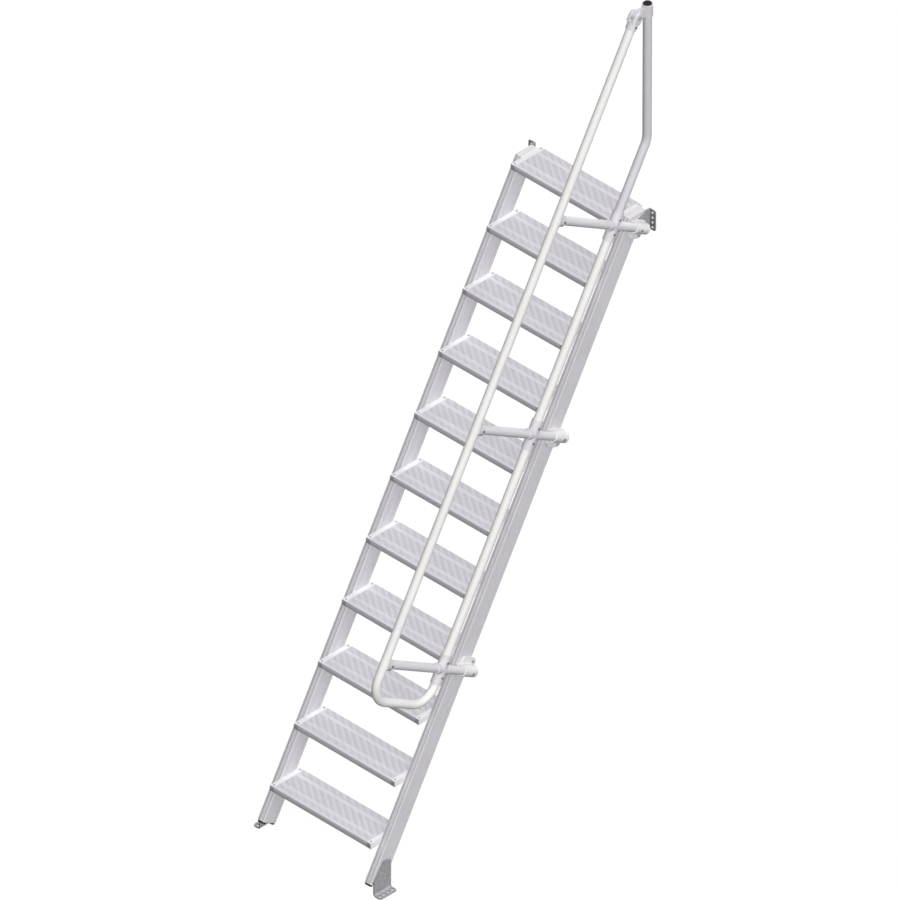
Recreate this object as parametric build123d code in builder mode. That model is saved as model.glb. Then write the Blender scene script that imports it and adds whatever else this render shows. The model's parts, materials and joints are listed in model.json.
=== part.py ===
from build123d import *
import math
import os

os.makedirs("parts", exist_ok=True)

# Steep aluminium stair with open treads, two extruded stringers and a tube handrail on its right side.
# Millimetres. X runs to the right when climbing, Y runs the way the climber walks, Z is up.
# The origin is on the underside of the left foot flange, in the middle of its row of bolt holes.

# Driving sizes of the flight
pitch = 60.0              # slope of the stringers from the floor, degrees
rise = 250.0              # height from tread to tread
first_rise = 242.0        # floor to the first tread
tread_count = 11
clear_width = 606.0       # between the stringers
tread_depth = 180.0
tread_thickness = 28.0
nose_bow = 2.0            # the front bows forward at half its height
nosing_radius = 4.0       # rounding of the front's upper edge
tread_edge = 2.0          # rounding of its lower edge
nose_wall = 8.0           # front of the first cell behind the tread's front
tread_wall = 2.5
end_cap_width = 24.0
end_cap_wall = 4.0
rib_pitch = 6.0           # grooves between the ribs of the tread's top
rib_groove = 2.6
rib_depth = 1.0
rib_start = 17.0          # first groove behind the tread's front
rib_count = (4, 12, 5)    # grooves in front of, between and behind the two flat lands
land_step = 24.0          # groove to groove across a flat land
nosing_reach = 64.4       # tread front ahead of the stringer front, at tread height
nosing_to_foot = 29.5     # first tread front ahead of the foot bolt row's middle

# Stringer extrusion
stringer_width = 37.0
stringer_depth = 85.0
stringer_corner = 3.5
stringer_wall = 3.0
end_wall = 4.6            # front and back wall, under the grooves
side_band = 44.0          # width of the sunk band along each side
front_band = 20.0         # width of the sunk band along the front and the back
band_sink = 1.2
band_groove = 3.2         # width of the groove along each edge of a band
band_groove_depth = 3.0
stringer_overhang = 203.5  # stringer below the first tread's level, along the slope
top_cap_thick = 2.5
plug_proud = 8.0
plug_depth = 14.0
plug_corner = 3.0

# Steel angle brackets
foot_plate = 6.0
foot_bend = 8.0           # inner radius between gusset and flange
foot_length = 102.0
foot_reach = 44.0
foot_front_height = 74.0
foot_height = 156.0
foot_crown = 10.0         # front of the gusset's level top, behind the bolt row's middle
foot_back_round = 24.0
foot_front_round = 12.0
foot_corner = 13.0
hole_row = 27.0           # bolt row from the stringer's outer face
hole_pitch = 25.0
hole_dia = 13.5
top_plate = 6.0
top_reach = 38.0
top_row = 21.0
top_height = 104.0
top_leg = 112.0           # leg of the top bracket along the stringer's side
top_level = 26.0          # its level upper edge, from the landing
top_slope = 52.0          # fall of its upper edge from there to its front
top_leg_corner = 14.0
top_corner = 9.0
landing_gap = 8.0         # tread back to the face of the landing

# Rail tubes
tube_dia = 40.0
tube_wall = 2.0
rail_offset = 28.0        # rail axis outside the stringer's outer face
hand_height = 520.0       # handrail axis in front of the stringer front, square to it
knee_height = 128.0       # knee rail axis in front of the stringer front
bend_radius = 100.0
support_at = (809.3, 1896.3, 2862.3)  # supports along the slope, from the first tread's level
return_drop = 172.0       # lower return run below the bottom support
support_end = 92.0        # rear end of a support behind the stringer front
hand_beyond = 939.0       # handrail's hinge above the top support, along the slope
cap_thick = 4.0
cap_inset = 0.8           # cap's rim inside the tube's outer edge
cap_depth = 14.0

# Cast fittings
fitting_wall = 4.5        # round a tube
cross_length = 138.0
cross_socket = 37.0       # end of a short socket from the knee rail's axis
saddle_length = 74.0
saddle_reach = 38.0       # end of the saddle's socket behind the handrail's axis
clamp_wall = 5.5
clamp_start = 14.0        # front of the cup behind the stringer front
clamp_end_wall = 10.0
clamp_round = 10.0
clamp_base = 10.0
clamp_plate = (20.0, 106.0)  # front and back edge of the base plate behind the stringer front
clamp_ear = 56.0          # base plate on the bolt's side of the support's axis
clamp_lip = 31.0          # base plate on the plain side
clamp_side = (1, -1, -1)  # bolt above or below the support
clamp_ear_corner = 20.0
collar_drop = 3.0         # collar below the post's end
collar_length = 56.0
tongue_thick = 20.0
tongue_r = 21.5           # tongue round the pivot
joint_reach = 70.0        # post axis behind the pivot
joint_play = 0.6          # round the turning ends
socket_length = 36.0
socket_web = 6.0
fork_round = 8.0          # rounding along the fork's cheeks

# Clearances
seat = 0.1                # between faces that are bolted together
slip = 0.15               # round a tube inside a fitting
side_play = 0.2           # at the ends of the treads
tube_gap = 1.0            # between tube ends that meet inside a fitting

# Derived places
run = rise / math.tan(math.radians(pitch))
cos_p, sin_p = math.cos(math.radians(pitch)), math.sin(math.radians(pitch))
left_out = hole_row
left_in = left_out + stringer_width
right_in = left_in + clear_width
right_out = right_in + stringer_width
nosing_y = -nosing_to_foot
front_y = nosing_y + nosing_reach
stair_top = first_rise + rise * (tread_count - 1)
landing_y = nosing_y + run * (tread_count - 1) + tread_depth + landing_gap
rail_x = right_out + rail_offset
tube_r = tube_dia / 2
bore_r = tube_r + slip
tube_bore_r = tube_r - tube_wall
fit_r = tube_r + fitting_wall
deep_cut = stringer_depth / sin_p      # stringer measured level
hand_n, knee_n = -hand_height, -knee_height

# The rake frame: x across the stair, y square to the stringers (to the back), z up along them.
rake = Plane(origin=(0, front_y, first_rise), x_dir=(1, 0, 0), z_dir=(0, cos_p, sin_p))
along = (0, cos_p, sin_p)
square = (0, sin_p, -cos_p)


def at(x, n, b):
    """Point in the row frame from rake coordinates."""
    v = rake.from_local_coords(Vector(x, n, b))
    return (v.X, v.Y, v.Z)


def rake_plane(x, n, b):
    """Plane square to the slope, at rake coordinates."""
    return Plane(origin=at(x, n, b), x_dir=(1, 0, 0), z_dir=along)


def square_plane(x, n, b):
    """Plane that faces the stair's back, square to the supports' axes."""
    return Plane(origin=at(x, n, b), x_dir=(1, 0, 0), z_dir=square)


def side_plane(x):
    """Vertical plane along the stair: its sketch x is the stair's Y, its sketch y is Z."""
    return Plane(origin=(x, 0, 0), x_dir=(0, 1, 0), z_dir=(1, 0, 0))


def tread_outline(y0, z0):
    """Side view of a tread, with a bowed front; y0 and z0 are its front and its top."""
    with BuildLine() as side_view:
        Polyline(
            (y0 + nose_bow, z0), (y0 + tread_depth, z0),
            (y0 + tread_depth, z0 - tread_thickness), (y0 + nose_bow, z0 - tread_thickness),
        )
        ThreePointArc(
            (y0 + nose_bow, z0 - tread_thickness), (y0, z0 - tread_thickness / 2), (y0 + nose_bow, z0),
        )
    make_face(side_view.edges())
    front = vertices().group_by(Axis.X)[0].sort_by(Axis.Y)
    fillet(front[-1], nosing_radius)
    fillet(front[0], tread_edge)


def save(body, label):
    """Name a sub-part and write it."""
    body.part.label = label
    export_step(body.part, f"parts/{label}.step")


# Stringers: a rounded extrusion with sunk, grooved bands and three chambers, cut level at the top
edge_chamber = (stringer_depth - side_band) / 2
mid_chamber = side_band - 2 * stringer_wall
end_chamber = edge_chamber - end_wall - stringer_wall / 2
chamber_width = stringer_width - 2 * stringer_wall - 2 * band_sink
end_shift = stringer_depth / 2 - end_wall - end_chamber / 2
side_groove = (side_band - band_groove) / 2
front_groove = (front_band - band_groove) / 2
top_reach_b = (stair_top - first_rise + stringer_depth * cos_p) / sin_p + stringer_depth
for side, x_mid in (("left", (left_out + left_in) / 2), ("right", (right_in + right_out) / 2)):
    with BuildPart() as stringer:
        with BuildSketch(rake_plane(x_mid, stringer_depth / 2, -stringer_overhang)):
            RectangleRounded(stringer_width, stringer_depth, stringer_corner)
            with Locations((stringer_width / 2, 0), (-stringer_width / 2, 0)):
                Rectangle(2 * band_sink, side_band, mode=Mode.SUBTRACT)
            with Locations((0, stringer_depth / 2), (0, -stringer_depth / 2)):
                Rectangle(front_band, 2 * band_sink, mode=Mode.SUBTRACT)
            with GridLocations(stringer_width, 2 * side_groove, 2, 2):
                Rectangle(2 * band_groove_depth, band_groove, mode=Mode.SUBTRACT)
            with GridLocations(2 * front_groove, stringer_depth, 2, 2):
                Rectangle(band_groove, 2 * band_groove_depth, mode=Mode.SUBTRACT)
            Rectangle(chamber_width, mid_chamber, mode=Mode.SUBTRACT)
            with Locations((0, end_shift), (0, -end_shift)):
                Rectangle(chamber_width, end_chamber, mode=Mode.SUBTRACT)
        extrude(amount=stringer_overhang + top_reach_b)
        with Locations((x_mid, front_y + run * (tread_count - 1), stair_top)):
            Box(
                2 * stringer_width, 6 * stringer_depth, 6 * stringer_depth,
                align=(Align.CENTER, Align.CENTER, Align.MIN), mode=Mode.SUBTRACT,
            )
    save(stringer, f"{side}_stringer")

    # Light cap on the level top cut
    cap_y = front_y + run * (tread_count - 1) + deep_cut / 2
    with BuildPart() as top_cap:
        with BuildSketch(Plane.XY.offset(stair_top)):
            with Locations((x_mid, cap_y)):
                RectangleRounded(stringer_width, deep_cut, stringer_corner)
        extrude(amount=top_cap_thick)
        chamfer(top_cap.faces().sort_by(Axis.Z)[-1].edges(), top_cap_thick / 3)
    save(top_cap, f"{side}_stringer_top_cap")

    # Plugs under the front and the rear chamber
    with BuildPart() as plugs:
        with BuildSketch(rake_plane(x_mid, stringer_depth / 2, -stringer_overhang - seat)):
            with Locations((0, end_shift), (0, -end_shift)):
                RectangleRounded(stringer_width - 4 * band_sink, edge_chamber - 2 * band_sink, plug_corner)
        extrude(amount=-plug_proud)
        with BuildSketch(rake_plane(x_mid, stringer_depth / 2, -stringer_overhang - seat)):
            with Locations((0, end_shift), (0, -end_shift)):
                Rectangle(chamber_width - 2 * slip, end_chamber - 2 * slip)
        extrude(amount=plug_depth)
    save(plugs, f"{side}_stringer_plugs")

# Treads: hollow planks between cast end caps
plank_from = left_in + end_cap_width + side_play
plank_to = right_in - end_cap_width - side_play
cell = (tread_depth - nose_wall - tread_wall) / 3
groove_at = []
groove_y = rib_start
for count in rib_count:
    groove_at += [groove_y + rib_pitch * i for i in range(count)]
    groove_y = groove_at[-1] + land_step
for k in range(tread_count):
    y0, z0 = nosing_y + run * k, first_rise + rise * k
    with BuildPart() as tread:
        with BuildSketch(side_plane(plank_from)):
            tread_outline(y0, z0)
            with Locations(*[(y0 + nose_wall + cell * i, z0 - rib_depth - tread_wall) for i in range(3)]):
                Rectangle(
                    cell - tread_wall, tread_thickness - rib_depth - 2 * tread_wall,
                    align=(Align.MIN, Align.MAX), mode=Mode.SUBTRACT,
                )
            with Locations(*[(y0 + y, z0) for y in groove_at]):
                Rectangle(rib_groove, 2 * rib_depth, mode=Mode.SUBTRACT)
        extrude(amount=plank_to - plank_from)
    save(tread, f"tread_{k + 1:02d}")

for side, x_end, inward in (("left", left_in + side_play / 2, 1), ("right", right_in - side_play / 2, -1)):
    with BuildPart() as end_caps:
        for k in range(tread_count):
            y0, z0 = nosing_y + run * k, first_rise + rise * k
            with BuildSketch(side_plane(x_end)):
                tread_outline(y0, z0)
            extrude(amount=inward * (end_cap_width - side_play / 2))
            with BuildSketch(side_plane(x_end + inward * end_cap_wall)):
                with Locations((y0 + nose_wall, z0 - tread_thickness / 2)):
                    Rectangle(
                        tread_depth - nose_wall - end_cap_wall, tread_thickness - 2 * end_cap_wall,
                        align=(Align.MIN, Align.CENTER),
                    )
            extrude(amount=inward * end_cap_width, mode=Mode.SUBTRACT)
    save(end_caps, f"{side}_tread_end_caps")

# Foot brackets: a gusset plate on the stringer's outer face, with a flange on the floor
for side, x_face, outward in (("left", left_out, -1), ("right", right_out, 1)):
    face = x_face + outward * seat
    reach = foot_reach - seat
    with BuildPart() as foot:
        with BuildSketch(side_plane(face)):
            with BuildLine():
                Polyline(
                    (-foot_length / 2, 0), (foot_length / 2, 0), (foot_length / 2, foot_height),
                    (foot_crown, foot_height), (-foot_length / 2, foot_front_height), close=True,
                )
            make_face()
            crown = vertices().group_by(Axis.Y)[-1].sort_by(Axis.X)
            fillet(crown[1], foot_back_round)
            fillet(crown[0], foot_front_round)
        extrude(amount=outward * foot_plate)
        with BuildSketch(Plane.XY):
            with Locations((face, 0)):
                Rectangle(
                    reach, foot_length,
                    align=(Align.MAX if outward < 0 else Align.MIN, Align.CENTER),
                )
            outer = vertices().sort_by(Axis.X)
            fillet(outer[0:2] if outward < 0 else outer[2:4], foot_corner)
            with Locations((x_face + outward * hole_row, 0)):
                with GridLocations(0, hole_pitch, 1, 4):
                    Circle(hole_dia / 2, mode=Mode.SUBTRACT)
        extrude(amount=foot_plate)
        bend_x = face + outward * foot_plate
        bend = foot.edges().filter_by(Axis.Y).sort_by_distance((bend_x, 0, foot_plate))[0]
        fillet(bend, foot_bend)
        heel = foot.edges().filter_by(Axis.Y).sort_by_distance((face, 0, 0))[0]
        fillet(heel, foot_bend + foot_plate)
    save(foot, f"{side}_foot_bracket")

    # Top brackets: a leg on the stringer's side and a flange on the landing
    with BuildPart() as top:
        with BuildSketch(side_plane(face)):
            with Locations((landing_y, stair_top - top_height / 2)):
                Polygon(
                    (0, top_height / 2), (-top_level, top_height / 2), (-top_leg, top_height / 2 - top_slope),
                    (-top_leg, -top_height / 2), (0, -top_height / 2), align=None,
                )
            fillet(vertices().group_by(Axis.X)[0], top_leg_corner)
        extrude(amount=outward * top_plate)
        with BuildSketch(Plane(origin=(face, landing_y, 0), x_dir=(1, 0, 0), z_dir=(0, -1, 0))):
            with Locations((0, stair_top - top_height / 2)):
                Rectangle(
                    top_reach - seat, top_height,
                    align=(Align.MAX if outward < 0 else Align.MIN, Align.CENTER),
                )
            outer = vertices().sort_by(Axis.X)
            fillet(outer[0:2] if outward < 0 else outer[2:4], top_corner)
            with Locations((outward * (top_row - seat), stair_top - top_height / 2)):
                with GridLocations(0, hole_pitch, 1, 4):
                    Circle(hole_dia / 2, mode=Mode.SUBTRACT)
        extrude(amount=top_plate)
        bend_x = face + outward * top_plate
        bend = top.edges().filter_by(Axis.Z).sort_by_distance(
            (bend_x, landing_y - top_plate, stair_top - top_height / 2)
        )[0]
        fillet(bend, top_plate / 2)
    save(top, f"{side}_top_bracket")

# Pivot of the clamp joint at the top of the handrail, on the handrail's own axis
pivot_b = support_at[2] + hand_beyond
socket_end = pivot_b - fit_r - joint_play
hand_end = socket_end - socket_web
pivot = at(rail_x, hand_n, pivot_b)
post_back = pivot[1] + joint_reach
collar_low = pivot[2] - collar_length / 2
post_top = pivot[2] + collar_length / 2 + collar_drop
return_b = support_at[0] - return_drop

# Handrail: one bent tube, with a return at its lower end into the bottom cross fitting
with BuildPart() as handrail:
    with BuildLine() as hand_path:
        FilletPolyline(
            at(rail_x, hand_n, hand_end), at(rail_x, hand_n, return_b),
            at(rail_x, knee_n, return_b), at(rail_x, knee_n, support_at[0] - tube_gap / 2),
            radius=bend_radius,
        )
    with BuildSketch(rake_plane(rail_x, hand_n, hand_end)):
        Circle(tube_r)
        Circle(tube_bore_r, mode=Mode.SUBTRACT)
    sweep(path=hand_path.line)
save(handrail, "handrail")

# Knee rail between the bottom and the top cross fitting
with BuildPart() as knee_rail:
    with BuildSketch(rake_plane(rail_x, knee_n, support_at[0] + tube_gap / 2)):
        Circle(tube_r)
        Circle(tube_bore_r, mode=Mode.SUBTRACT)
    extrude(amount=support_at[2] - support_at[0] - tube_gap)
save(knee_rail, "knee_rail")

# Upper post: goes on from the knee rail, then bends upright
vertex_b = (post_back - front_y + knee_height * sin_p) / cos_p
with BuildPart() as upper_post:
    with BuildLine() as post_path:
        FilletPolyline(
            at(rail_x, knee_n, support_at[2] + tube_gap / 2), at(rail_x, knee_n, vertex_b),
            (rail_x, post_back, post_top), radius=bend_radius,
        )
    with BuildSketch(rake_plane(rail_x, knee_n, support_at[2] + tube_gap / 2)):
        Circle(tube_r)
        Circle(tube_bore_r, mode=Mode.SUBTRACT)
    sweep(path=post_path.line)
save(upper_post, "upper_post")

with BuildPart() as post_cap:
    with BuildSketch(Plane.XY.offset(post_top + seat)):
        with Locations((rail_x, post_back)):
            Circle(tube_r - cap_inset)
    extrude(amount=cap_thick)
    chamfer(post_cap.edges().sort_by(Axis.Z)[-1], cap_thick / 3)
    with BuildSketch(Plane.XY.offset(post_top + seat)):
        with Locations((rail_x, post_back)):
            Circle(tube_bore_r - slip)
    extrude(amount=-cap_depth)
save(post_cap, "post_cap")

# Supports and their fittings, square to the stringers
names = ("bottom", "middle", "top")
stop = fit_r + slip       # support ends, from the axis of the tube they meet
cup_r = tube_r + clamp_wall
cup_back = support_end + clamp_end_wall
for name, b, ear_side in zip(names, support_at, clamp_side):
    with BuildPart() as support:
        for start, end in ((hand_n + stop, knee_n - stop), (knee_n + stop, support_end)):
            with BuildSketch(square_plane(rail_x, start, b)):
                Circle(tube_r)
                Circle(tube_bore_r, mode=Mode.SUBTRACT)
            extrude(amount=end - start)
    save(support, f"support_{name}")

    # Cross fitting: a long sleeve on the knee rail with two short sockets, blended into it
    with BuildPart() as cross:
        with BuildSketch(rake_plane(rail_x, knee_n, b - cross_length / 2)):
            Circle(fit_r)
        extrude(amount=cross_length)
        with BuildSketch(square_plane(rail_x, knee_n - cross_socket, b)):
            Circle(fit_r)
        extrude(amount=2 * cross_socket)
        with BuildSketch(rake_plane(rail_x, knee_n, b - cross_length / 2)):
            Circle(bore_r)
        extrude(amount=cross_length, mode=Mode.SUBTRACT)
        for start, end in ((-cross_socket, -fit_r), (fit_r, cross_socket)):
            with BuildSketch(square_plane(rail_x, knee_n + start, b)):
                Circle(bore_r)
            extrude(amount=end - start, mode=Mode.SUBTRACT)
    save(cross, f"cross_fitting_{name}")

    # Tee saddle: hugs the back of the handrail and narrows to a round socket for the support
    with BuildPart() as saddle:
        with BuildSketch(square_plane(rail_x, hand_n, b)):
            Ellipse(fit_r, saddle_length / 2)
        with BuildSketch(square_plane(rail_x, hand_n + saddle_reach, b)):
            Circle(fit_r)
        loft()
        with BuildSketch(rake_plane(rail_x, hand_n, b - saddle_length)):
            Circle(bore_r)
        extrude(amount=2 * saddle_length, mode=Mode.SUBTRACT)
        with BuildSketch(square_plane(rail_x, hand_n + fit_r, b)):
            Circle(bore_r)
        extrude(amount=saddle_reach, mode=Mode.SUBTRACT)
    save(saddle, f"tee_saddle_{name}")

    # Stringer clamp: a closed cup round the support's end, on a base plate with an ear for its bolt
    base_x = right_out + seat + (top_plate + seat if name == "top" else 0)
    base_top = right_out + clamp_base
    with BuildPart() as clamp:
        with BuildSketch(square_plane(rail_x, clamp_start, b)):
            Circle(cup_r)
            with Locations((base_x - rail_x, 0)):
                Rectangle(rail_x - base_x, 2 * cup_r, align=(Align.MIN, Align.CENTER))
                Rectangle(2 * cup_r, 4 * cup_r, align=(Align.MAX, Align.CENTER), mode=Mode.SUBTRACT)
        extrude(amount=cup_back - clamp_start)
        fillet(clamp.faces().sort_by(Axis(at(rail_x, 0, b), square))[-1].edges(), clamp_round)
        with BuildSketch(Plane(origin=at(base_x, sum(clamp_plate) / 2, b), x_dir=square, z_dir=(1, 0, 0))):
            with Locations((0, ear_side * (clamp_ear - clamp_lip) / 2)):
                RectangleRounded(clamp_plate[1] - clamp_plate[0], clamp_ear + clamp_lip, clamp_ear_corner)
        extrude(amount=base_top - base_x)
        with BuildSketch(square_plane(rail_x, clamp_start, b)):
            Circle(bore_r)
        extrude(amount=support_end + seat - clamp_start, mode=Mode.SUBTRACT)
    save(clamp, f"stringer_clamp_{name}")

# Hinge joint at the top: a collar with a tongue on the post, and a forked socket on the handrail
with BuildPart() as collar:
    with BuildSketch(side_plane(rail_x)):
        with Locations((pivot[1], pivot[2])):
            Circle(tongue_r)
            Rectangle(joint_reach, 2 * tongue_r, align=(Align.MIN, Align.CENTER))
    extrude(amount=tongue_thick / 2, both=True)
    with BuildSketch(Plane.XY.offset(collar_low)):
        with Locations((rail_x, post_back)):
            Circle(fit_r)
    extrude(amount=collar_length)
    with BuildSketch(Plane.XY.offset(collar_low)):
        with Locations((rail_x, post_back)):
            Circle(bore_r)
    extrude(amount=collar_length, mode=Mode.SUBTRACT)
save(collar, "post_collar")
with BuildPart() as socket:
    with BuildSketch(Plane(origin=pivot, x_dir=along, z_dir=(1, 0, 0))):
        Circle(fit_r)
        Rectangle(fit_r + joint_play + socket_web, 2 * fit_r, align=(Align.MAX, Align.CENTER))
    extrude(amount=fit_r, both=True)
    fillet(socket.edges().filter_by(Axis(pivot, along)), fork_round)
    with BuildSketch(rake_plane(rail_x, hand_n, hand_end)):
        Circle(fit_r)
    extrude(amount=socket_web - socket_length)
    with BuildSketch(Plane(origin=pivot, x_dir=along, z_dir=(1, 0, 0))):
        with Locations((-fit_r - joint_play, 0)):
            Rectangle(3 * fit_r, 3 * fit_r, align=(Align.MIN, Align.CENTER))
    extrude(amount=tongue_thick / 2 + slip, both=True, mode=Mode.SUBTRACT)
    with BuildSketch(rake_plane(rail_x, hand_n, hand_end + slip)):
        Circle(bore_r)
    extrude(amount=-socket_length, mode=Mode.SUBTRACT)
save(socket, "handrail_socket")
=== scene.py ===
import json
import math

import bpy
import bmesh
from mathutils import Matrix, Vector


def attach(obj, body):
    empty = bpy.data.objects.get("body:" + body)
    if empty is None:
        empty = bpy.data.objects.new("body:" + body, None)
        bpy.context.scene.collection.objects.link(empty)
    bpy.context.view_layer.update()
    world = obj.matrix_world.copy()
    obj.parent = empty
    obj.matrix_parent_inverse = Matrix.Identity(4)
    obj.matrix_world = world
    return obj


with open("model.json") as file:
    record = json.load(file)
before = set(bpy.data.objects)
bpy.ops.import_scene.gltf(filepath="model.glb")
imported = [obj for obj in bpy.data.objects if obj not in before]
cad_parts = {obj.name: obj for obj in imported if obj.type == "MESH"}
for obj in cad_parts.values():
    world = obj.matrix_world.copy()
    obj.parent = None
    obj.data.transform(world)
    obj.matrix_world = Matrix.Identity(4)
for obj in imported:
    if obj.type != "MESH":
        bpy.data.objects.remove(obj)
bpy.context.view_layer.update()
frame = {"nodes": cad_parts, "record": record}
nodes = frame["nodes"]
scene = bpy.context.scene

MM = 0.001

# The stair's own sizes, in millimetres. Places on the slope are given by b, up along the stringers from the
# first tread's level, and n, square to the stringers from their fronts.
PITCH = math.radians(60)
FIRST_RISE = 242.0
FRONT_Y = 34.9            # stringer front at the first tread's level
TREAD_FRONT_Y = -29.5     # front of the first tread
RISE, TREADS, TREAD_DEPTH, END_CAP = 250.0, 11, 180.0, 24.0
RUN = RISE / math.tan(PITCH)
STAIR_TOP, LANDING_Y = FIRST_RISE + RISE * (TREADS - 1), 1601.9
LEFT_OUT, LEFT_IN, RIGHT_IN, RIGHT_OUT = 27.0, 64.0, 670.0, 707.0   # outer and inner faces of the stringers
STAIR_MIDDLE = (LEFT_OUT + RIGHT_OUT) / 2
STRINGER_MIDDLE = (RIGHT_IN + RIGHT_OUT) / 2 - STAIR_MIDDLE         # from the stair's middle
STRINGER_DEPTH = 85.0
RAIL_X = 735.0            # middle of the railing
HAND_N, KNEE_N = -520.0, -128.0   # axes of the handrail and the knee rail
SUPPORT_AT = {"bottom": 809.3, "middle": 1896.3, "top": 2862.3}   # b of the supports' axes
HINGE_B = 3801.3
SLEEVE_R = 24.5           # outside of the cross fittings, saddles and the hinge socket
CUP_R = 25.5              # outside of the stringer clamps' cups
CLAMP_BASE = 10.0         # outside of the clamps' bases, from the stringer's outer face
FOOT_PLATE, TOP_PLATE = 6.1, 6.1   # outside of the brackets' plates, from the stringers' outer faces

ALONG = Vector((0, math.cos(PITCH), math.sin(PITCH)))
SQUARE = Vector((0, math.sin(PITCH), -math.cos(PITCH)))
RIGHT, BACK, UP = Vector((1, 0, 0)), Vector((0, 1, 0)), Vector((0, 0, 1))


def on_slope(x, n, b):
    """A point in metres: x across, n square to the stringers, b up along them."""
    return (Vector((x, FRONT_Y, FIRST_RISE)) + SQUARE * n + ALONG * b) * MM


def colour(text):
    """Linear RGBA from an sRGB hex value."""
    parts = [int(text[i:i + 2], 16) / 255 for i in (1, 3, 5)]
    return tuple(c / 12.92 if c <= 0.04045 else ((c + 0.055) / 1.055) ** 2.4 for c in parts) + (1.0,)


def put(tree, kind, sockets=None, **settings):
    """Add a node with its settings, and link or set its sockets."""
    made = tree.nodes.new(kind)
    for name, value in settings.items():
        setattr(made, name, value)
    for name, value in (sockets or {}).items():
        if isinstance(value, bpy.types.NodeSocket):
            tree.links.new(value, made.inputs[name])
        else:
            made.inputs[name].default_value = value
    return made


def across_mm(width):
    """Noise scale whose patches are about this many millimetres wide."""
    return 1.0 / (width * MM)


def new_finish(name):
    """An empty material and its node tree."""
    finish = bpy.data.materials.new(name)
    finish.use_nodes = True
    finish.node_tree.nodes.clear()
    return finish, finish.node_tree


# Turns about X that lay a piece's long way on Z: along the slope, square to it, upright
SLOPE_TURN, SQUARE_TURN, UPRIGHT_TURN = math.radians(30), math.radians(120), 0.0
# Specular level of all skins: oxide, powder coat, zinc and the moulded plastic reflect little
MATT_SKIN = 0.1
# Noise keeps near its middle, so this part of its range is spread over the whole of a tone
NOISE_SPREAD = {"From Min": 0.3, "From Max": 0.7}
PEBBLE_SPREAD = {"From Min": 0.35, "From Max": 0.65}

# Sizes of the patterns, in millimetres
FRONT_BAND_EDGE, SIDE_BAND_EDGE = 10.0, 22.0   # edges of the stringers' bands, where the grooves lie, from the face's middle
SIDE_BAND_SHADE = 0.35                         # the painted shade at the side bands' edges is lighter than at the front's
EDGE_DARK, EDGE_UNSHADED = 1.4, 3.4               # painted shade is full up to here from a band's edge, and gone from here
DIE_LINE_RELIEF, ZINC_RELIEF = 0.05, 0.1
TREAD_LINE, TREAD_LINE_LENGTH = 3.0, 360.0
DRAWN_CLOUD, TREAD_CLOUD, PEBBLE_CLOUD = 140.0, 110.0, 45.0   # patches of uneven tone and gloss
STRIPE_STEP, STRIPE_LEAN = 46.0, 1.42          # stripes: step along the tread, sideways lean per mm of depth
STRIPE_SPREAD = {"From Min": -0.7, "From Max": 0.9}
# How far behind a tread's front each stretch starts, and how strongly the stripes show on it
TREAD_STRETCHES = ((0.0, 0.0), (15.0, 0.7), (38.0, 0.3), (56.0, 1.0), (128.0, 0.15), (146.0, 0.8))
ZINC_CRYSTAL, ZINC_RIPPLE = 9.0, 6.0
# Painted shade on the fronts sets in where a face turns this much to the front, and is full where it turns
# this much
FRONT_SHADE_SPREAD = {"From Min": 0.15, "From Max": 0.9}


def dull_skin(tree, tone, metallic, gloss, relief):
    """Join colour, gloss and relief into the dull skin that all pieces of the stair have."""
    skin = put(tree, "ShaderNodeBsdfPrincipled", {
        "Base Color": tone, "Metallic": metallic, "Roughness": gloss, "Normal": relief,
        "Specular IOR Level": MATT_SKIN})
    put(tree, "ShaderNodeOutputMaterial", {"Surface": skin.outputs[0]})


def groove_shade(tree, place):
    """Painted shade in the grooves: 1 at the band edges of the stringers' fronts and backs, less at the side
    bands', 0 elsewhere.
    """
    parts = put(tree, "ShaderNodeSeparateXYZ", {"Vector": place})
    from_middle = put(tree, "ShaderNodeMath", {0: parts.outputs["X"], 1: STAIR_MIDDLE * MM},
                      operation="SUBTRACT").outputs[0]
    either_side = put(tree, "ShaderNodeMath", {0: from_middle}, operation="ABSOLUTE").outputs[0]
    deep = put(tree, "ShaderNodeVectorMath", {0: place, 1: SQUARE}, operation="DOT_PRODUCT").outputs["Value"]
    front = Vector((0, FRONT_Y, FIRST_RISE)).dot(SQUARE)
    shades = []
    for off, centre, edge, share in (
            (either_side, STRINGER_MIDDLE, FRONT_BAND_EDGE, 1.0),
            (deep, front + STRINGER_DEPTH / 2, SIDE_BAND_EDGE, SIDE_BAND_SHADE)):
        for step in (centre, edge):
            off = put(tree, "ShaderNodeMath", {0: off, 1: step * MM}, operation="SUBTRACT").outputs[0]
            off = put(tree, "ShaderNodeMath", {0: off}, operation="ABSOLUTE").outputs[0]
        shades.append(put(tree, "ShaderNodeMapRange", {
            "Value": off, "From Min": EDGE_DARK * MM, "From Max": EDGE_UNSHADED * MM,
            "To Min": share, "To Max": 0.0}).outputs[0])
    return put(tree, "ShaderNodeMath", {0: shades[0], 1: shades[1]}, operation="MAXIMUM").outputs[0]


def painted_front_shade(tree):
    """1 on faces that look to the front, 0 on faces that look elsewhere.

    This is painted shade, which darkens the fronts of the treads, end caps and brackets.
    """
    normal = put(tree, "ShaderNodeNewGeometry").outputs["Normal"]
    facing = put(tree, "ShaderNodeVectorMath", {0: normal, 1: -BACK},
                 operation="DOT_PRODUCT").outputs["Value"]
    return put(tree, "ShaderNodeMapRange", {"Value": facing, **FRONT_SHADE_SPREAD}).outputs[0]


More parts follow.
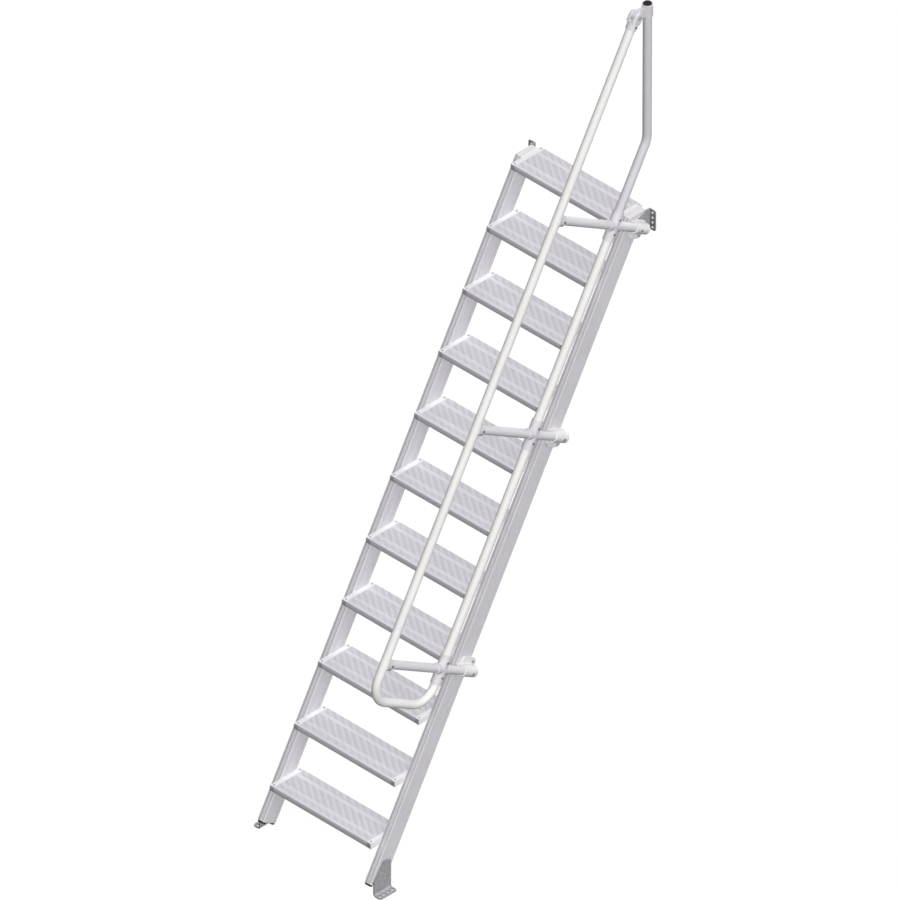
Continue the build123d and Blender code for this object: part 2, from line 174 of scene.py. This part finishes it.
def drawn_metal(name, light, dark, turn, line, length, metallic, roughness, painted_groove_tone=None):
    """Drawn or extruded aluminium with a satin anodised skin.

    To the eye: an even pale grey with fine lines along the piece from the die, slightly uneven in tone and
    gloss, and matt, because the oxide skin scatters the light. Where a groove tone is given, painted shade
    darkens the grooves of the profile.
    The lines are really under a millimetre wide; they are drawn a few times coarser so that they show.
    """
    finish, tree = new_finish(name)
    place = put(tree, "ShaderNodeTexCoord").outputs["Object"]
    turned = put(tree, "ShaderNodeMapping", {"Vector": place, "Rotation": (turn, 0, 0)}).outputs[0]
    drawn = put(tree, "ShaderNodeMapping", {"Vector": turned, "Scale": (1, 1, line / length)}).outputs[0]
    lines = put(tree, "ShaderNodeTexNoise", {
        "Vector": drawn, "Scale": across_mm(line), "Detail": 3.0}).outputs[0]
    clouds = put(tree, "ShaderNodeTexNoise", {
        "Vector": place, "Scale": across_mm(DRAWN_CLOUD), "Detail": 2.0}).outputs[0]
    mixed = put(tree, "ShaderNodeMix", {0: 0.4, 2: lines, 3: clouds}).outputs[0]
    wander = put(tree, "ShaderNodeMapRange", {"Value": mixed, **NOISE_SPREAD}).outputs[0]
    tone = put(tree, "ShaderNodeMix", {0: wander, 6: colour(dark), 7: colour(light)},
               data_type="RGBA").outputs[2]
    # painted shade along the grooves of the stringers' bands
    if painted_groove_tone:
        tone = put(tree, "ShaderNodeMix", {0: groove_shade(tree, place), 6: tone, 7: colour(painted_groove_tone)},
                   data_type="RGBA").outputs[2]
    gloss = put(tree, "ShaderNodeMapRange", {
        "Value": mixed, **NOISE_SPREAD, "To Min": roughness + 0.06, "To Max": roughness - 0.06}).outputs[0]
    relief = put(tree, "ShaderNodeBump", {
        "Height": lines, "Strength": 0.35, "Distance": DIE_LINE_RELIEF * MM}).outputs[0]
    dull_skin(tree, tone, metallic, gloss, relief)
    return finish


def pebbled_finish(name, light, dark, grain, depth, metallic, roughness, painted_front_tone=None):
    """Castings, mouldings and plated screws; what each is made of stands at its own line below.

    To the eye: a skin with a fine even pebble, a little duller in patches, and with painted shade on its
    fronts where a front tone is given.
    """
    finish, tree = new_finish(name)
    place = put(tree, "ShaderNodeTexCoord").outputs["Object"]
    pebble = put(tree, "ShaderNodeTexNoise", {
        "Vector": place, "Scale": across_mm(grain), "Detail": 2.0}).outputs[0]
    clouds = put(tree, "ShaderNodeTexNoise", {
        "Vector": place, "Scale": across_mm(PEBBLE_CLOUD), "Detail": 3.0}).outputs[0]
    mixed = put(tree, "ShaderNodeMix", {0: 0.6, 2: pebble, 3: clouds}).outputs[0]
    wander = put(tree, "ShaderNodeMapRange", {"Value": mixed, **PEBBLE_SPREAD}).outputs[0]
    tone = put(tree, "ShaderNodeMix", {0: wander, 6: colour(dark), 7: colour(light)},
               data_type="RGBA").outputs[2]
    # painted shade on faces that look to the front
    if painted_front_tone:
        tone = put(tree, "ShaderNodeMix", {0: painted_front_shade(tree), 6: tone, 7: colour(painted_front_tone)},
                   data_type="RGBA").outputs[2]
    gloss = put(tree, "ShaderNodeMapRange", {
        "Value": clouds, **NOISE_SPREAD, "To Min": roughness - 0.05, "To Max": roughness + 0.07}).outputs[0]
    relief = put(tree, "ShaderNodeBump", {
        "Height": pebble, "Strength": 0.4, "Distance": depth * MM}).outputs[0]
    dull_skin(tree, tone, metallic, gloss, relief)
    return finish


def ribbed_tread_metal():
    """Mill-finish extruded aluminium of the treads.

    To the eye: grey with fine lines along the ribs. The ribs' crowns are notched against slipping, and the
    notches step sideways from rib to rib, which leaves faint slanting stripes between the smooth lands.
    The lines are drawn coarser than the real ones, which are under a millimetre wide.
    """
    finish, tree = new_finish("mill_finish_aluminium")
    place = put(tree, "ShaderNodeTexCoord").outputs["Object"]
    parts = put(tree, "ShaderNodeSeparateXYZ", {"Vector": place})
    # How far behind a tread's front: every tread repeats the first one, moved along the slope
    climbed = put(tree, "ShaderNodeMath", {0: parts.outputs["Z"], 1: 1 / math.tan(PITCH)},
                  operation="MULTIPLY").outputs[0]
    level = put(tree, "ShaderNodeMath", {0: parts.outputs["Y"], 1: climbed}, operation="SUBTRACT").outputs[0]
    first_front = (TREAD_FRONT_Y - FIRST_RISE / math.tan(PITCH)) * MM
    behind = put(tree, "ShaderNodeMath", {0: level, 1: first_front}, operation="SUBTRACT").outputs[0]
    # Stripes at equal steps along the tread; towards the front each one leans to the right
    slant = put(tree, "ShaderNodeMath", {0: behind, 1: STRIPE_LEAN, 2: parts.outputs["X"]},
                operation="MULTIPLY_ADD").outputs[0]
    wave = put(tree, "ShaderNodeMath", {0: slant, 1: 2 * math.pi / (STRIPE_STEP * MM)},
               operation="MULTIPLY").outputs[0]
    stripe = put(tree, "ShaderNodeMath", {0: wave}, operation="SINE").outputs[0]
    bar = put(tree, "ShaderNodeMapRange", {"Value": stripe, **STRIPE_SPREAD}).outputs[0]
    # The nosing stays plain and the smooth lands nearly so
    depth_share = put(tree, "ShaderNodeMath", {0: behind, 1: TREAD_DEPTH * MM}, operation="DIVIDE").outputs[0]
    land = put(tree, "ShaderNodeValToRGB", {"Fac": depth_share})
    ramp = land.color_ramp
    ramp.interpolation = "CONSTANT"
    ramp.elements.remove(ramp.elements[1])
    for start, strength in TREAD_STRETCHES:
        stop = ramp.elements.new(start / TREAD_DEPTH) if start else ramp.elements[0]
        stop.color = (strength, strength, strength, 1)
    notched = put(tree, "ShaderNodeMath", {0: bar, 1: land.outputs[0]}, operation="MULTIPLY").outputs[0]
    drawn = put(tree, "ShaderNodeMapping", {
        "Vector": place, "Scale": (TREAD_LINE / TREAD_LINE_LENGTH, 1, 1)}).outputs[0]
    lines = put(tree, "ShaderNodeTexNoise", {
        "Vector": drawn, "Scale": across_mm(TREAD_LINE), "Detail": 3.0}).outputs[0]
    clouds = put(tree, "ShaderNodeTexNoise", {
        "Vector": place, "Scale": across_mm(TREAD_CLOUD), "Detail": 3.0}).outputs[0]
    mixed = put(tree, "ShaderNodeMix", {0: 0.5, 2: lines, 3: clouds}).outputs[0]
    wander = put(tree, "ShaderNodeMapRange", {"Value": mixed, **NOISE_SPREAD}).outputs[0]
    plain = put(tree, "ShaderNodeMix", {0: wander, 6: colour("#cfcdd3"), 7: colour("#dad8de")},
                data_type="RGBA").outputs[2]
    striped = put(tree, "ShaderNodeMix", {0: notched, 6: plain, 7: colour("#c7c5cb")},
                  data_type="RGBA").outputs[2]
    # painted shade on the treads' fronts
    tone = put(tree, "ShaderNodeMix", {0: painted_front_shade(tree), 6: striped, 7: colour("#c2c0c6")},
               data_type="RGBA").outputs[2]
    gloss = put(tree, "ShaderNodeMapRange", {
        "Value": mixed, **NOISE_SPREAD, "To Min": 0.56, "To Max": 0.44}).outputs[0]
    relief = put(tree, "ShaderNodeBump", {
        "Height": lines, "Strength": 0.35, "Distance": DIE_LINE_RELIEF * MM}).outputs[0]
    dull_skin(tree, tone, 0.1, gloss, relief)
    return finish


def galvanised_steel():
    """Hot-dip galvanised steel plate.

    To the eye: a dull middle grey whose zinc crystals, about 9 mm across, differ a little in tone and gloss.
    """
    finish, tree = new_finish("galvanised_steel")
    place = put(tree, "ShaderNodeTexCoord").outputs["Object"]
    ripple = put(tree, "ShaderNodeTexNoise", {
        "Vector": place, "Scale": across_mm(ZINC_RIPPLE), "Detail": 2.0}).outputs[0]
    crystal = put(tree, "ShaderNodeTexVoronoi", {"Vector": place, "Scale": across_mm(ZINC_CRYSTAL)})
    shade = put(tree, "ShaderNodeSeparateXYZ", {"Vector": crystal.outputs["Color"]}).outputs[0]
    unshaded_zinc = put(tree, "ShaderNodeMix", {0: shade, 6: colour("#929195"), 7: colour("#aaa9ad")},
                data_type="RGBA").outputs[2]
    # painted shade on the brackets' fronts
    tone = put(tree, "ShaderNodeMix", {0: painted_front_shade(tree), 6: unshaded_zinc, 7: colour("#7c7b7f")},
               data_type="RGBA").outputs[2]
    gloss = put(tree, "ShaderNodeMapRange", {"Value": shade, "To Min": 0.42, "To Max": 0.58}).outputs[0]
    relief = put(tree, "ShaderNodeBump", {
        "Height": ripple, "Strength": 0.3, "Distance": ZINC_RELIEF * MM}).outputs[0]
    dull_skin(tree, tone, 0.1, gloss, relief)
    return finish


# Stringers: extruded aluminium, clear anodised. Pale and matt, with die lines up the slope and painted shade
# in the grooves.
extrusion = drawn_metal("clear_anodised_extrusion", "#d6d4d9", "#cac8cd", SLOPE_TURN, line=3.0, length=400,
                        metallic=0.1, roughness=0.45, painted_groove_tone="#aaa8ad")
# Handrail and knee rail: drawn aluminium tube, bright anodised. Nearly white, and smoother than the rest.
rail_tube = drawn_metal("bright_anodised_tube", "#eae9e7", "#e0dfdd", SLOPE_TURN, line=2.5, length=300,
                        metallic=0.08, roughness=0.38)
# Supports: drawn aluminium tube, satin anodised. Greyer than the rails, with its lines square to the slope.
support_tube = drawn_metal("satin_anodised_support_tube", "#d8d6db", "#cdcbd0", SQUARE_TURN, line=2.5,
                           length=300, metallic=0.1, roughness=0.42)
# Upper post: the supports' kind of tube. The greyest of the tubes, with upright lines.
post_tube = drawn_metal("satin_anodised_post_tube", "#d3d1d6", "#c8c6cb", UPRIGHT_TURN, line=2.5, length=300,
                        metallic=0.05, roughness=0.42)
# Stringer clamps and top caps: die-cast aluminium, powder coated. Off-white, even and matt.
pale_casting = pebbled_finish("pale_powder_coated_casting", "#e4e3e4", "#dad9da", grain=2.0, depth=0.12,
                              metallic=0.0, roughness=0.45)
# Tread end caps: the same coated casting. The palest pieces, with painted shade on their fronts.
end_cap_casting = pebbled_finish("pale_powder_coated_end_cap", "#eae9eb", "#e1e0e2", grain=2.0, depth=0.12,
                                 metallic=0.0, roughness=0.45, painted_front_tone="#a8a6ab")
# Cross fittings, tee saddles and the hinge: die-cast aluminium, blasted. Light grey with a fine dull grain.
grey_casting = pebbled_finish("blasted_grey_casting", "#d7d5da", "#c9c7cc", grain=1.6, depth=0.2,
                              metallic=0.1, roughness=0.5)
# Stringer plugs and post cap: moulded polyethylene. Nearly black, with a dull grain from the mould.
black_plastic = pebbled_finish("moulded_black_polyethylene", "#101012", "#0a0a0c", grain=1.5, depth=0.1,
                               metallic=0.0, roughness=0.55)
# Set screws: steel with a black oxide skin. Dark grey spots on the fittings, a little smoother.
dark_screw = pebbled_finish("black_oxide_steel", "#4a4a4e", "#38383c", grain=1.0, depth=0.05,
                            metallic=0.2, roughness=0.42)
# Bolts and bracket screws: zinc-plated steel. Middle grey and fairly smooth.
zinc_screw = pebbled_finish("zinc_plated_steel", "#a8a7ac", "#98979c", grain=1.0, depth=0.05,
                            metallic=0.2, roughness=0.4)
tread_metal = ribbed_tread_metal()
steel_plate = galvanised_steel()

finishes = {
    "stringer_profile": extrusion, "tread_profile": tread_metal, "pale_casting": pale_casting,
    "bright_tube": rail_tube, "grey_tube": support_tube, "grey_casting": grey_casting,
    "galvanised_steel": steel_plate, "black_plastic": black_plastic,
}
own_finish = {
    "upper_post": post_tube,
    "left_tread_end_caps": end_cap_casting, "right_tread_end_caps": end_cap_casting,
}
for row in frame["record"]["subparts"]:
    piece = nodes[row["node"]]
    piece.data.materials.clear()
    piece.data.materials.append(own_finish.get(row["node"], finishes[row["material_slot"]]))


# Screws, from rings of points: each ring is round or six-sided, with a radius (half width across flats) and a
# height over the face it sits on, in millimetres; the six-sided rings are the sockets for the key
SET_SCREW = [("round", 5.5, -1.2), ("round", 5.5, 0.9), ("round", 5.0, 1.3), ("hex", 2.6, 1.3),
             ("hex", 2.6, -1.0)]
CAP_SCREW = [("round", 6.5, -0.5), ("round", 6.5, 7.3), ("round", 5.8, 8.0), ("hex", 3.0, 8.0),
             ("hex", 3.0, 4.0)]
PIVOT_SCREW = [("round", 9.0, -0.5), ("round", 9.0, 1.6), ("round", 7.6, 3.4), ("round", 5.4, 4.3),
               ("hex", 3.0, 4.4), ("hex", 3.0, 2.0)]
FLUSH_SCREW = [("round", 7.6, -0.4), ("round", 7.6, 0.15), ("round", 7.3, 0.35), ("hex", 2.6, 0.35),
               ("hex", 2.6, -0.3)]
CAP_TOP_SCREW = [("round", 4.6, -0.3), ("round", 4.6, 0.6), ("round", 3.8, 1.3), ("hex", 1.7, 1.4),
                 ("hex", 1.7, 0.3)]
RING_POINTS = 24
SHARP_EDGE = math.radians(32)

# Where the screws sit on their fittings, in millimetres
CROSS_SCREW_ALONG = 34.0                          # cross fittings: up and down the knee rail from the support
CROSS_LOW_SIDE, CROSS_LOW_BACK, CROSS_LOW_DOWN = 12.6, 21.0, 56.0   # and low on the sleeve's rear quarter
SADDLE_SIDE_BACK, SADDLE_LOW_BACK = 31.0, 26.0    # tee saddles: behind the handrail's axis
SADDLE_LOW_FACING, SADDLE_OVAL = (17.0, -17.6), 1.8   # right and downward, where the oval is this much wider
EAR_BOLT_BACK, EAR_BOLT_ALONG = 86.0, 38.0        # stringer clamps: the bolt in the ear
EAR_SIDE = {"bottom": 1, "middle": -1, "top": -1}     # the ear is above or below the support
CUP_SCREW_AT = {"bottom": 70.0, "middle": 70.0, "top": 44.0}
CUP_SCREW_FACING = (24.0, -4.0)
HINGE_SCREW_DOWN, POST_BEHIND_HINGE = 44.0, 70.0
FOOT_SCREWS_AT = (-170.0, -125.0)                 # along the stringers, from the first tread's level
TOP_SCREWS = ((70.0, 48.0), (92.0, 82.0))         # in front of the landing and below the top tread
END_CAP_SCREWS = (14.0, TREAD_DEPTH - 10.0)       # behind the tread's front


def add_screws(name, shape, places, finish):
    """One piece of several equal screws; places are points in metres with the way each head faces."""
    bm = bmesh.new()
    for point, facing in places:
        stand = Matrix.Translation(point) @ Vector(facing).to_track_quat("Z", "Y").to_matrix().to_4x4()
        rings = []
        for kind, radius, height in shape:
            ring = []
            for i in range(RING_POINTS):
                turn = 2 * math.pi * i / RING_POINTS
                off_flat = (turn + math.pi / 6) % (math.pi / 3) - math.pi / 6
                out = radius / math.cos(off_flat) if kind == "hex" else radius
                corner = Vector((out * math.cos(turn), out * math.sin(turn), height))
                ring.append(bm.verts.new(stand @ (corner * MM)))
            rings.append(ring)
        for low, high in zip(rings, rings[1:]):
            for i in range(RING_POINTS):
                j = (i + 1) % RING_POINTS
                bm.faces.new((low[i], low[j], high[j], high[i]))
        bm.faces.new(rings[-1])
        bm.faces.new(list(reversed(rings[0])))
    mesh = bpy.data.meshes.new(name)
    bm.to_mesh(mesh)
    bm.free()
    mesh.shade_smooth()
    mesh.set_sharp_from_angle(angle=SHARP_EDGE)
    mesh.materials.append(finish)
    screws = bpy.data.objects.new(name, mesh)
    scene.collection.objects.link(screws)
    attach(screws, "root")


def round_the(axis_n, b, x_part, b_part, radius):
    """Point and facing on a round fitting whose axis is square to the slope."""
    facing = (RIGHT * x_part + ALONG * b_part).normalized()
    return on_slope(RAIL_X, axis_n, b) + facing * (radius * MM), facing


for name, b in SUPPORT_AT.items():
    add_screws(f"cross_fitting_screws_{name}", SET_SCREW, [
        (on_slope(RAIL_X + SLEEVE_R, KNEE_N, b + CROSS_SCREW_ALONG), RIGHT),
        (on_slope(RAIL_X + SLEEVE_R, KNEE_N, b - CROSS_SCREW_ALONG), RIGHT),
        (on_slope(RAIL_X + CROSS_LOW_SIDE, KNEE_N + CROSS_LOW_BACK, b - CROSS_LOW_DOWN),
         RIGHT * CROSS_LOW_SIDE + SQUARE * CROSS_LOW_BACK),
    ], dark_screw)
    add_screws(f"tee_saddle_screws_{name}", SET_SCREW, [
        round_the(HAND_N + SADDLE_SIDE_BACK, b, 1, 0, SLEEVE_R),
        round_the(HAND_N + SADDLE_LOW_BACK, b, *SADDLE_LOW_FACING, SLEEVE_R + SADDLE_OVAL),
    ], dark_screw)
    add_screws(f"clamp_bolt_{name}", CAP_SCREW, [
        (on_slope(RIGHT_OUT + CLAMP_BASE, EAR_BOLT_BACK, b + EAR_SIDE[name] * EAR_BOLT_ALONG), RIGHT),
    ], zinc_screw)
    add_screws(f"clamp_set_screw_{name}", SET_SCREW, [
        round_the(CUP_SCREW_AT[name], b, *CUP_SCREW_FACING, CUP_R),
    ], dark_screw)

add_screws("hinge_set_screw", SET_SCREW, [
    (on_slope(RAIL_X + SLEEVE_R, HAND_N, HINGE_B - HINGE_SCREW_DOWN), RIGHT),
], dark_screw)
add_screws("hinge_pivot_screws", PIVOT_SCREW, [
    (on_slope(RAIL_X + SLEEVE_R, HAND_N, HINGE_B), RIGHT),
    (on_slope(RAIL_X - SLEEVE_R, HAND_N, HINGE_B), -RIGHT),
], zinc_screw)
hinge = on_slope(RAIL_X, HAND_N, HINGE_B)
add_screws("post_collar_set_screw", SET_SCREW, [
    (hinge + BACK * ((POST_BEHIND_HINGE + SLEEVE_R) * MM), BACK),
], dark_screw)
add_screws("foot_bracket_screws", FLUSH_SCREW, [
    (on_slope(x, STRINGER_DEPTH / 2, b), facing)
    for x, facing in ((LEFT_OUT - FOOT_PLATE, -RIGHT), (RIGHT_OUT + FOOT_PLATE, RIGHT))
    for b in FOOT_SCREWS_AT
], zinc_screw)
add_screws("left_top_bracket_screws", FLUSH_SCREW, [
    (Vector((LEFT_OUT - TOP_PLATE, LANDING_Y - ahead, STAIR_TOP - down)) * MM, -RIGHT)
    for ahead, down in TOP_SCREWS
], zinc_screw)
for side, x in (("left", LEFT_IN + END_CAP / 2), ("right", RIGHT_IN - END_CAP / 2)):
    add_screws(f"{side}_end_cap_screws", CAP_TOP_SCREW, [
        (Vector((x, TREAD_FRONT_Y + RUN * k + behind, FIRST_RISE + RISE * k)) * MM, UP)
        for k in range(TREADS) for behind in END_CAP_SCREWS
    ], zinc_screw)

# Camera: the picture has no perspective, so a very long lens stands far away; widths and places in metres
LENS, SENSOR, VIEW_WIDTH = 1650.0, 36.0, 3.804
VIEW_CENTRE = Vector((0.3643, 0.7519, 1.7420))
VIEW_BACK = Vector((1, -1, 1)).normalized()
far = VIEW_WIDTH * LENS / SENSOR
camera_data = bpy.data.cameras.new("camera")
camera_data.lens, camera_data.sensor_width = LENS, SENSOR
camera_data.clip_start, camera_data.clip_end = 1.0, 2 * far
camera = bpy.data.objects.new("camera", camera_data)
camera.location = VIEW_CENTRE + VIEW_BACK * far
camera.rotation_euler = VIEW_BACK.to_track_quat("Z", "Y").to_euler()
scene.collection.objects.link(camera)
scene.camera = camera

# Light: a wide soft lamp from the upper right with a shadowless fill beside it, a low wide one from behind
# that leaves the front alone, and a faint sky
scene.view_settings.view_transform = "Standard"
UPPER_RIGHT, LOW_BEHIND = (0.6, -0.3, 0.74), (-0.35, 0.92, 0.12)
LAMPS = (  # name, strength, spread in degrees, the way to the lamp, whether it casts shadows
    ("key_lamp", 1.3, 60, UPPER_RIGHT, True),
    ("fill_lamp", 2.65, 5, UPPER_RIGHT, False),
    ("back_lamp", 1.6, 60, LOW_BEHIND, True),
)
for name, strength, spread, towards, shadow in LAMPS:
    lamp_data = bpy.data.lights.new(name, "SUN")
    lamp_data.energy, lamp_data.angle, lamp_data.use_shadow = strength, math.radians(spread), shadow
    lamp = bpy.data.objects.new(name, lamp_data)
    lamp.rotation_euler = Vector(towards).to_track_quat("Z", "Y").to_euler()
    scene.collection.objects.link(lamp)
SKY = 0.02
WHITE = (1, 1, 1, 1)


def shown(tree):
    """1 where the camera, a glossy surface or a clear one looks, 0 for scattered light."""
    path = put(tree, "ShaderNodeLightPath")
    either = path.outputs["Is Camera Ray"]
    for other in ("Is Glossy Ray", "Is Transmission Ray"):
        either = put(tree, "ShaderNodeMath", {0: either, 1: path.outputs[other]},
                     operation="MAXIMUM").outputs[0]
    return either


studio = bpy.data.worlds.new("white_studio")
scene.world = studio
studio.use_nodes = True
tree = studio.node_tree
tree.nodes.clear()
sky = put(tree, "ShaderNodeBackground", {"Color": WHITE, "Strength": SKY})
white = put(tree, "ShaderNodeBackground", {"Color": WHITE, "Strength": 1.0})
both = put(tree, "ShaderNodeMixShader", {0: shown(tree), 1: sky.outputs[0], 2: white.outputs[0]})
put(tree, "ShaderNodeOutputWorld", {"Surface": both.outputs[0]})

# Floor: white to the eye with a faint shadow, dim to scattered light so that undersides stay in shade
FLOOR_HALF, FLOOR_Z, FLOOR_GLOW = 30.0, -0.0005, 0.86   # metres, and the light it gives off to the eye
floor_finish, tree = new_finish("white_studio_floor")
dim = put(tree, "ShaderNodeBsdfDiffuse", {"Color": colour("#484848")})
faint = put(tree, "ShaderNodeBsdfDiffuse", {"Color": colour("#707070")})
glow = put(tree, "ShaderNodeEmission", {"Color": WHITE, "Strength": FLOOR_GLOW})
seen = put(tree, "ShaderNodeAddShader", {0: faint.outputs[0], 1: glow.outputs[0]})
both = put(tree, "ShaderNodeMixShader", {0: shown(tree), 1: dim.outputs[0], 2: seen.outputs[0]})
put(tree, "ShaderNodeOutputMaterial", {"Surface": both.outputs[0]})
floor_corners = [(x * FLOOR_HALF, y * FLOOR_HALF, FLOOR_Z) for x, y in ((-1, -1), (1, -1), (1, 1), (-1, 1))]
floor_mesh = bpy.data.meshes.new("floor")
floor_mesh.from_pydata(floor_corners, [], [(0, 1, 2, 3)])
floor_mesh.materials.append(floor_finish)
floor = bpy.data.objects.new("floor", floor_mesh)
scene.collection.objects.link(floor)
